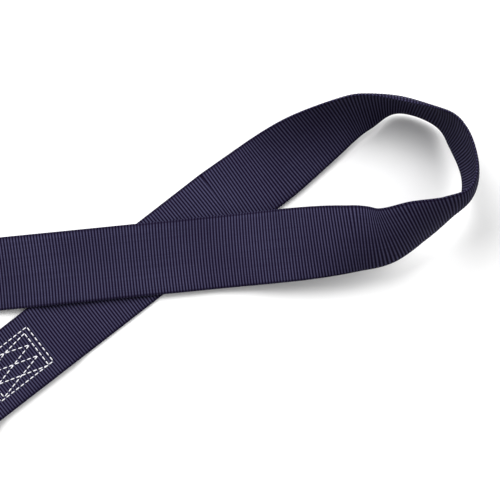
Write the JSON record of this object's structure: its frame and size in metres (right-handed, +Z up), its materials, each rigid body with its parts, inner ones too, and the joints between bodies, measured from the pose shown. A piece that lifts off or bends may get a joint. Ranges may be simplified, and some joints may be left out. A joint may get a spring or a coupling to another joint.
{
  "type": "gait belt",
  "caption": "Transfer belt of ribbed polyester webbing laid in a crossed loop, with a toothed steel buckle on its cross-stitched end and its tail folded in a keeper.",
  "frame": {"origin": "middle of the belt's flat underside where it crosses itself, on the table", "axes": "+Z up from the table, +X along the belt towards the loop, +Y across"},
  "size_m": [0.4867, 0.2662, 0.0658],
  "materials": {
    "webbing": "ribbed woven polyester, soft sheen",
    "thread": "twisted polyester thread",
    "label": "woven satin, blank",
    "keeper": "narrow woven polyester",
    "nickel": "bright nickel plate on stamped steel"
  },
  "bodies": {
    "belt": {"webbing_sewn_end": "webbing", "webbing_lower_run": "webbing", "webbing_loop_rise": "webbing", "webbing_loop_return": "webbing", "webbing_upper_run": "webbing", "webbing_folded_tail": "webbing", "needle_thread": "thread", "bobbin_thread": "thread", "care_label": "label", "tail_tip": "nickel", "tip_rivets": "nickel"},
    "buckle": {"buckle_frame": "nickel", "end_bar": "nickel", "front_bar": "nickel", "cam_pin": "nickel"},
    "cam": {"toothed_cam": "nickel"},
    "keeper": {"keeper_loop": "keeper", "keeper_stitch": "thread"}
  },
  "joints": [
    {"name": "buckle_swing", "type": "hinge", "parent": "belt", "child": "buckle", "pos_m": [-0.13275, -0.10297, 0.0049], "axis": [-0.6129, 0.7902, 0], "range_deg": [0, 110]},
    {"name": "cam_turn", "type": "hinge", "parent": "buckle", "child": "cam", "pos_m": [-0.14855, -0.11523, 0.0104], "axis": [-0.6129, 0.7902, 0], "range_deg": [0, 85]},
    {"name": "keeper_slide", "type": "slide", "parent": "belt", "child": "keeper", "axis": [0.9951, 0.0993, 0], "range_m": [-0.04, 0.04]}
  ]
}
